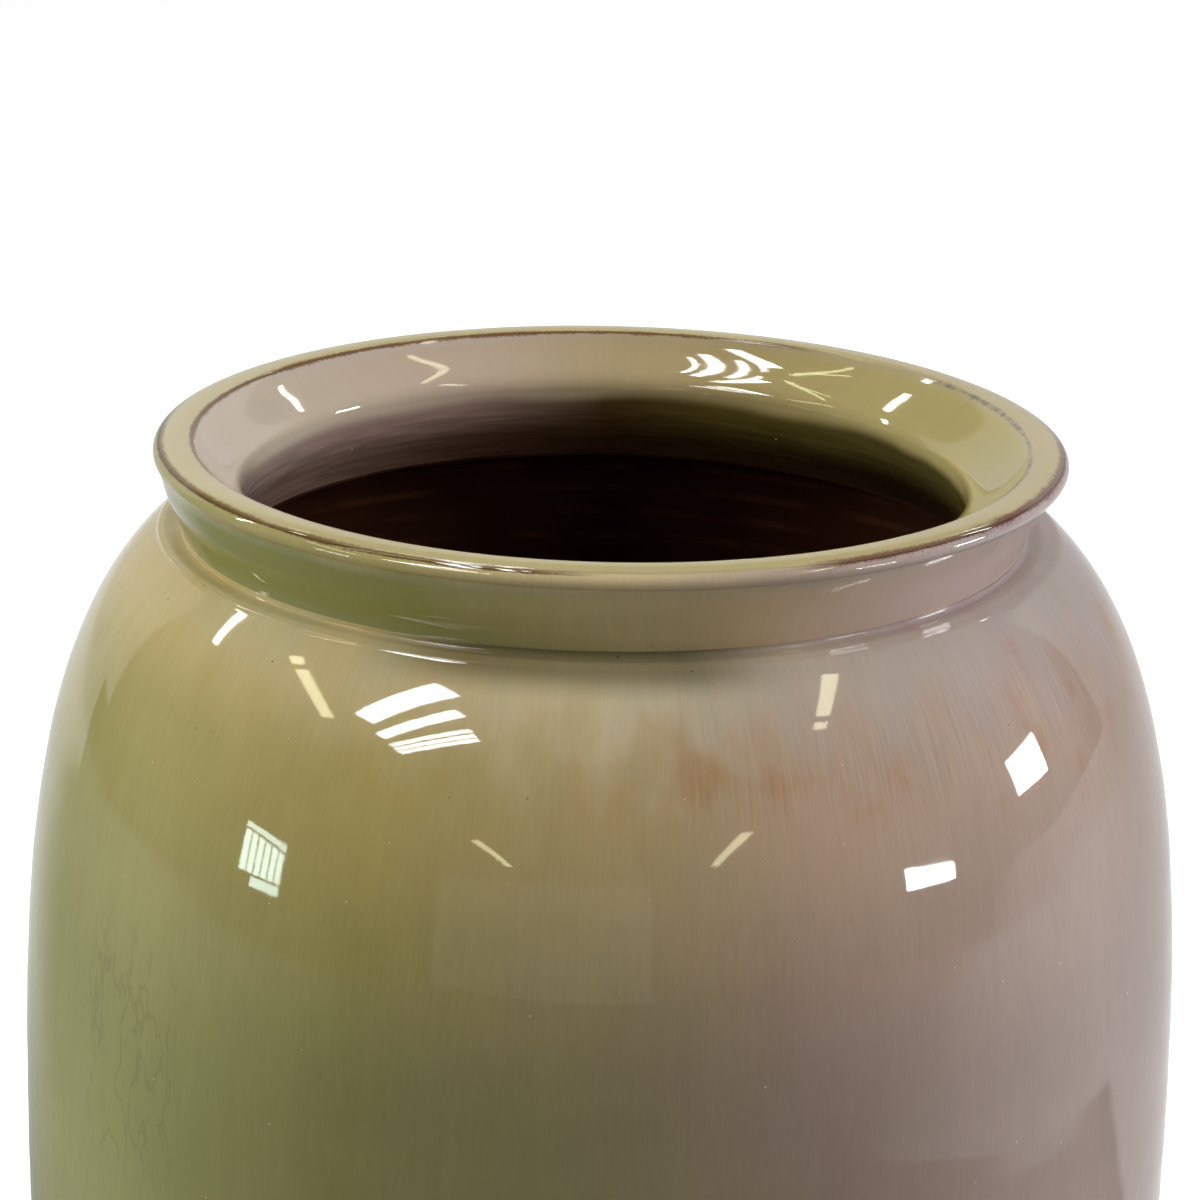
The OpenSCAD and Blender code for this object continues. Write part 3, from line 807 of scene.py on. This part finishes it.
def funnel_depth(u):
    """Nothing at the lip's inner edge, and full at the throat."""
    return GLAZE * np.sqrt(u)


def ledge_bead(u):
    """The slip that was smoothed round the foot of the collar stands up a little."""
    return -SLIP_RISE * np.sin(math.pi * np.clip((u - 0.30) / 0.52, 0, 1)) ** 2


def scarf_depth(u):
    """The border between the two glazes of the wall goes down into it at a slant."""
    return GLAZE * (u - SCARF_LOW) / (SCARF_HIGH - SCARF_LOW)


def glaze_line(theta, z):
    """The lower edge of the glaze wavers a little, where it was wiped and where it ran."""
    waver = 0.7 * np.sin(3 * theta + 0.4) + 0.45 * np.sin(7 * theta + 2) + 0.25 * np.sin(17 * theta)
    return waver * np.clip(1 - (z - GLAZE_LINE_Z) / 12, 0, 1)


def make_pieces():
    """The clay pieces from the foot up, and then the glazes."""
    foot_in = FOOT_R - FOOT_W
    groove = [[foot_in + TONGUE_MARGIN, FOOT_H], [foot_in + TONGUE_MARGIN, FOOT_H + TONGUE],
              [FOOT_R - TONGUE_MARGIN, FOOT_H + TONGUE], [FOOT_R - TONGUE_MARGIN, FOOT_H]]
    lathe("foot_ring_turned", rounded(
        [[foot_in + FOOT_BEVEL, 0], [FOOT_R - FOOT_BEVEL, 0], [FOOT_R, FOOT_BEVEL], [FOOT_R, FOOT_H],
         *groove[::-1], [foot_in, FOOT_H], [foot_in, FOOT_BEVEL]], 0.5),
        ["foot_ring"], BARE_CLAY)
    lathe("base_slab_turned", rounded(
        [[0, FOOT_H], *groove, [FOOT_R, FOOT_H], sunk(HEEL, [0], GLAZE)[0], sunk(HEEL, [1], GLAZE)[0],
         [floor_r, joint_z], [floor_r, floor_z], [0, floor_z]], 0.3),
        ["base_slab"], BARE_CLAY)
    u = np.linspace(0, HEEL_COIL_U, 8)
    lathe("heel_coil_smoothed", [
        *corner([floor_r, floor_z]), strip_through(wall_inside(LOWER, u)),
        strip(HEEL_FILLET, 15).back()], ["heel_coil"], LUTING_CLAY)
    low = np.linspace(0, 1, 80)
    lathe("lower_wall_thrown", [
        strip(LOWER, 80, GLAZE), *corner(belly_v), strip_through(wall_inside(LOWER, low)).back(),
        *corner([floor_r, joint_z])], ["lower_wall"], WALL_CLAY)
    below = np.linspace(1 - BELLY_COIL_U, 1, 12)
    above = np.linspace(0, BELLY_COIL_U, 12)[1:]
    lathe("belly_coil_smoothed", [
        strip_through(np.concatenate([wall_inside(LOWER, below), wall_inside(UPPER, above)])),
        strip_through(np.concatenate([
            wall_inside(LOWER, below, belly_coil_at(1 - below)),
            wall_inside(UPPER, above, belly_coil_at(above))])).back()],
        ["belly_coil"], LUTING_CLAY)
    lathe("upper_wall_thrown", [
        strip(UPPER, 80, GLAZE), strip(LEDGE, 12, GLAZE), *corner(seam_corner, [SPIGOT_R, seam_corner[1]],
        under_ledge), strip_through(wall_inside(UPPER, low)).back(), *corner(belly_v)],
        ["upper_wall"], WALL_CLAY)
    u = np.linspace(NECK_COIL_U, 1, 12)
    lathe("neck_coil_smoothed", [
        strip_through(wall_inside(UPPER, u)), *corner(under_ledge, [SPIGOT_R, NECK_Z]),
        strip(NECK_FILLET, 15).back()], ["neck_coil"], LUTING_CLAY)
    lathe("neck_collar_thrown", [
        *corner(seam_corner), strip(FACE, 20, GLAZE), strip(ROLL, 16, roll_depth), strip(TOP, 16, top_depth),
        strip(FUNNEL, 24, funnel_depth), strip(FLARE, 16, GLAZE, 0, 0.95),
        *corner(neck_edge_clay, [SPIGOT_R, NECK_Z], [SPIGOT_R, seam_corner[1]])],
        ["neck_collar"], broken_clay())

    lathe("liner_glaze_coat", [
        strip_through(cavity(0.0, 0.4)), *corner([NECK_EDGE_R + LINER_LAP, NECK_Z], [NECK_EDGE_R, NECK_Z],
        [NECK_EDGE_R, NECK_Z - LINER], [NECK_EDGE_R + LINER_LAP, NECK_Z - LINER]),
        strip_through(cavity(LINER, 1.3), relief=True).back()],
        ["liner_glaze"], liner_glaze(), rings=True)
    lathe("throat_glaze_coat", [
        strip(FUNNEL, 48), strip(FLARE, 24), *corner(neck_edge_clay),
        strip(FLARE, 16, GLAZE, 0, 0.95).back(), strip(FUNNEL, 24, funnel_depth).back()],
        ["throat_glaze"], throat_glaze())
    lathe("lip_glaze_coat", [strip(TOP, 24), strip(TOP, 16, top_depth).back()],
          ["lip_glaze"], lip_glaze())
    lathe("collar_glaze_coat", [
        strip(FACE, 40, 0.0, FACE_U, 1), strip(ROLL, 24), strip(ROLL, 16, roll_depth).back(),
        strip(FACE, 20, GLAZE).back(), *corner(seam_corner)],
        ["collar_glaze"], collar_glaze())
    lathe("shoulder_glaze_coat", [
        strip(UPPER, 60, 0.0, SCARF_LOW, 1), strip(LEDGE, 30, ledge_bead, 0, LEDGE_U), strip(POOL, 10),
        *corner(seam_corner),
        strip(LEDGE, 12, GLAZE).back(), strip(UPPER, 40, GLAZE, SCARF_HIGH, 1).back(),
        strip(UPPER, 12, scarf_depth, SCARF_LOW, SCARF_HIGH).back()],
        ["shoulder_glaze"], body_glaze("glaze_shoulder"))
    heel_u = (GLAZE_LINE_Z - FOOT_H) / (HEEL_Z - FOOT_H)

    def bead_depth(u):
        v = (u - heel_u) / (1 - heel_u)
        return GLAZE * (1 - v) ** 6 - BEAD * np.sin(math.pi * v)

    lathe("body_glaze_coat", [
        strip(HEEL, 16, bead_depth, heel_u, 1), strip(LOWER, 90), strip(UPPER, 60, 0.0, 0, SCARF_LOW),
        strip(UPPER, 12, scarf_depth, SCARF_LOW, SCARF_HIGH), strip(UPPER, 40, GLAZE, 0, SCARF_HIGH).back(),
        strip(LOWER, 40, GLAZE).back()],
        ["body_glaze"], body_glaze("glaze_body"), drift=glaze_line)


make_pieces()

# -------- camera

CAMERA_DISTANCE = 0.9376      # from the middle of the lip
CAMERA_RISE = 15.779          # of the camera above the plane of the lip, in degrees like the next three
CAMERA_PITCH = 18.501         # downwards
CAMERA_YAW = -0.135           # towards +X
CAMERA_ROLL = 1.235
LENS, SENSOR = 105.0, 36.0    # in millimetres


def make_camera():
    """A long lens, looking down at the mouth from the front."""
    rise, pitch, yaw, roll = (math.radians(a) for a in (CAMERA_RISE, CAMERA_PITCH, CAMERA_YAW, CAMERA_ROLL))
    lip = Vector((0, 0, (HEIGHT - CROWN) * MM))
    place = lip + CAMERA_DISTANCE * Vector((0, -math.cos(rise), math.sin(rise)))
    ahead = Vector((math.sin(yaw) * math.cos(pitch), math.cos(yaw) * math.cos(pitch), -math.sin(pitch)))
    right = ahead.cross(Vector((0, 0, 1))).normalized()
    up = right.cross(ahead)
    turned_right = right * math.cos(roll) + up * math.sin(roll)
    turned_up = up * math.cos(roll) - right * math.sin(roll)
    data = bpy.data.cameras.new("camera")
    data.lens, data.sensor_width = LENS, SENSOR
    data.clip_start, data.clip_end = 0.01, 100
    camera = add_object("camera", data)
    axes = Matrix((turned_right, turned_up, -ahead)).transposed().to_4x4()
    camera.matrix_world = Matrix.Translation(place) @ axes
    bpy.context.scene.camera = camera


make_camera()

# -------- studio

FLOOR_WHITE = 0.3       # how much light the paper gives back to the vase
FLOOR_LIFT = 0.95       # added where the camera looks straight at the paper, so that it comes out white
ROOM = 0.03             # the room in front, as the glaze mirrors it
BACKDROP = 0.58         # the paper roll behind the vase
BACKDROP_EDGE = 0.57    # its side edges, as the Y part of a level direction
BACKDROP_TOP = 0.46     # its upper edge, as the Z part of a direction
PAPER_FRONT = 0.185     # front edge of the paper on the table
PAPER_LEFT = -0.22      # where its left edge would cross the Y axis, and the slope of that edge
PAPER_SLOPE = -0.87
BENCH = 0.6             # the bench beyond the table, on the right of BENCH_X
BENCH_X = 0.65
FLOOR_SIDE = 24
AMBIENT = 0.004         # the little light that comes from everywhere
CEILING = 3.0
WALL_X = 2.5            # the side walls
SOFT_AIM = Vector((0, 0, 0.3))      # where the soft lights point


def make_floor():
    """White paper. Seen directly it is lifted to white, as a lit backdrop is.

    The glaze mirrors a smaller sheet, with a soft near side on the left, and a bench.
    """
    half = FLOOR_SIDE / 2
    mesh = bpy.data.meshes.new("floor")
    corners = [(-half, -half, 0), (half, -half, 0), (half, half, 0), (-half, half, 0)]
    mesh.from_pydata(corners, [], [(0, 1, 2, 3)])
    floor = add_object("floor", mesh)
    paper = Nodes("floor_paper")
    path = paper.node("LightPath")
    x, y = paper.node("SeparateXYZ", {0: paper.node("TexCoord").outputs["Object"]}).outputs[:2]
    slant = paper.add(paper.times(x, PAPER_SLOPE), PAPER_LEFT)
    inside = paper.math("SUBTRACT", y, paper.math("MAXIMUM", slant, PAPER_FRONT))
    hard = paper.span(inside, -0.01, 0.02)
    soft = paper.span(inside, 0, 0.5, 0, 0.85)
    far = paper.math("MAXIMUM", paper.span(x, -0.25, 0.05), paper.span(y, 0.9, 1.35))
    sheet = paper.times(paper.add(soft, paper.times(far, paper.math("SUBTRACT", hard, soft))), BACKDROP)
    bench = paper.times(paper.span(x, BENCH_X - 0.01, BENCH_X + 0.02), paper.span(y, -0.9, -0.2), BENCH)
    mirrored = paper.times(path.outputs["Is Glossy Ray"], paper.math("MAXIMUM", sheet, bench))
    seen = paper.times(path.outputs["Is Camera Ray"], FLOOR_LIFT)
    paper.shade({
        "Base Color": (FLOOR_WHITE,) * 3, "Roughness": 0.9, "Specular IOR Level": 0.0,
        "Emission Color": (1, 1, 1), "Emission Strength": paper.math("MAXIMUM", seen, mirrored)})
    mesh.materials.append(paper.material)


class World(Nodes):
    """The same short calls for the world round the scene."""

    def __init__(self, name):
        self.world = bpy.data.worlds.new(name)
        self.world.use_nodes = True
        self.tree = self.world.node_tree


def make_world():
    """A white paper roll behind the vase and a dim room round the rest of it."""
    studio = World("studio")
    bpy.context.scene.world = studio.world
    x, y, z = studio.node("SeparateXYZ", {0: studio.node("TexCoord").outputs["Generated"]}).outputs
    ahead = studio.math("DIVIDE", y, studio.length(x, y))
    behind = studio.span(ahead, BACKDROP_EDGE - 0.01, BACKDROP_EDGE + 0.02)
    below = studio.span(z, BACKDROP_TOP + 0.04, BACKDROP_TOP - 0.04)
    glow = studio.span(studio.times(behind, below), 0, 1, ROOM, BACKDROP)
    path = studio.node("LightPath")
    mirrored = studio.times(glow, path.outputs["Is Glossy Ray"])
    strength = studio.math("MAXIMUM", mirrored, path.outputs["Is Camera Ray"])
    background = studio.tree.nodes["Background"]
    background.inputs["Color"].default_value = (1, 1, 1, 1)
    studio.put(background.inputs["Strength"], studio.math("MAXIMUM", strength, AMBIENT))


def area_light(name, place, aim, size, power, colour=(1, 1, 1), turn=0.0):
    """A rectangle of light that the camera doesn't see, turned about its aim by some degrees."""
    data = bpy.data.lights.new(name, "AREA")
    data.shape = "RECTANGLE"
    data.size, data.size_y = size
    data.energy = power
    data.color = colour
    lamp = add_object(name, data)
    lamp.location = place
    lamp.rotation_mode = "QUATERNION"
    about_aim = Quaternion((0, 0, 1), math.radians(turn))
    lamp.rotation_quaternion = Vector(aim).to_track_quat("-Z", "Y") @ about_aim
    lamp.visible_camera = False
    return lamp


def softbox(name, place, width, power):
    """Soft light on the vase that the glaze doesn't mirror."""
    lamp = area_light(name, place, SOFT_AIM - Vector(place), (width, width), power)
    lamp.visible_glossy = False


def pane(name, place, aim, size, brightness, colour=(1, 1, 1), turn=0.0):
    """A window or tube that is only seen mirrored in the glaze."""
    lamp = area_light(name, place, aim, size, brightness * math.pi * size[0] * size[1], colour, turn)
    lamp.visible_diffuse = False


def make_softboxes():
    softbox("soft_top", (0, 0, 2.4), 2.4, 16)
    softbox("soft_left", (-2.2, 0, 1.2), 1.6, 26)
    softbox("soft_right", (2.2, 0, 1.2), 1.6, 31)
    softbox("soft_back_left", (-1.6, 1.8, 1.2), 1.6, 16)
    softbox("soft_front_left", (-2.0, -1.0, 1.4), 1.4, 14)
    softbox("soft_front_right", (2.0, -1.0, 1.4), 1.4, 13)


def bar(name, start, end, width, brightness, colour=(1, 1, 1)):
    """A strip of light in the ceiling between two points."""
    start, end = Vector((*start, CEILING)), Vector((*end, CEILING))
    run = end - start
    turn = math.degrees(math.atan2(run.y, run.x))
    pane(name, (start + end) / 2, (0, 0, -1), (run.length, width), brightness, colour, turn)


def make_panes():
    """Skylight slats and tubes in the ceiling, and windows in the two side walls."""
    bar("skylight_near", (-2.86, -1.56), (-1.34, -1.01), 0.36, 28)
    bar("skylight_middle", (-2.93, -2.10), (-1.43, -1.61), 0.20, 28)
    for k, y in enumerate((-2.25, -2.39, -2.52)):
        bar(f"skylight_far_{k}", (-2.94, y - 0.17), (-1.46, y + 0.17), 0.10, 24)
    bar("louvre_0", (-0.36, 1.02), (-0.37, 0.68), 0.03, 22)
    bar("louvre_1", (-0.44, 1.10), (-0.49, 0.45), 0.075, 22)
    bar("louvre_2", (-0.55, 1.20), (-0.62, 0.75), 0.05, 22)
    bar("louvre_3", (-0.64, 1.25), (-0.67, 1.05), 0.03, 22)
    bar("louvre_frame", (-0.84, -0.08), (-0.72, 1.10), 0.13, 22)
    tube = (1.0, 0.95, 0.62)
    cool = (0.92, 1.0, 0.85)
    yellow = (0.95, 1.0, 0.55)
    mint = (0.80, 1.0, 0.92)
    bar("tube_left_near", (-3.55, -1.36), (-3.02, -0.09), 0.27, 11, tube)
    bar("tube_left_near_end", (-2.97, 0.04), (-2.87, 0.24), 0.27, 11, tube)
    bar("tube_right_near", (2.26, -1.32), (1.77, -0.31), 0.19, 10, tube)
    bar("tube_right_near_end", (2.43, -1.66), (2.33, -1.47), 0.19, 10, tube)
    bar("tube_left_far", (-3.6, -11.1), (-3.5, -7.3), 0.3, 9, tube)
    bar("tube_right_far", (4.2, -10.4), (3.45, -6.1), 0.35, 9, tube)
    bar("tube_left_side", (-4.7, 1.71), (-2.75, 1.71), 0.20, 28, cool)
    bar("tube_left_corner", (-1.10, 2.55), (-1.43, 2.22), 0.11, 20, cool)
    bar("tube_right_back", (1.48, 2.94), (2.40, 2.62), 0.14, 18, (0.85, 1.0, 0.85))
    bar("tube_left_back", (-0.75, 1.40), (-1.75, 0.74), 0.07, 9, yellow)
    bar("tube_left_back_end", (-0.80, 1.33), (-1.25, 1.34), 0.06, 9, yellow)
    bar("lamp_right_back", (0.74, 1.20), (1.38, 0.52), 0.08, 7, tube)
    slats, width = 6, 0.50
    for k in range(slats):
        y = -1.30 + width * (k + 0.5) / slats
        pane(f"window_left_{k}", (-WALL_X, y, 0.42), (1, 0, 0), (width / slats * 0.84, 0.25), 17, mint)
    pane("window_left_top", (-WALL_X, -1.05, 0.58), (1, 0, 0), (width, 0.04), 14, mint)
    pane("window_left_sill", (-WALL_X, -1.12, 0.22), (1, 0, 0), (0.34, 0.10), 14, mint)
    bluish = (0.97, 0.95, 1.0)
    pane("window_right_front", (2.63, -1.19, 0.46), (-0.19, 0.98, 0), (0.98, 0.17), 60, bluish, -2.5)
    pane("window_right_middle", (WALL_X, 0.20, 0.73), (-1, 0, 0), (0.45, 0.34), 40)
    pane("far_wall", (-0.65, -3.0, 0.45), (0, 1, 0), (2.3, 0.9), 0.30)


make_floor()
make_world()
make_softboxes()
make_panes()
bpy.context.scene.view_settings.view_transform = "Standard"
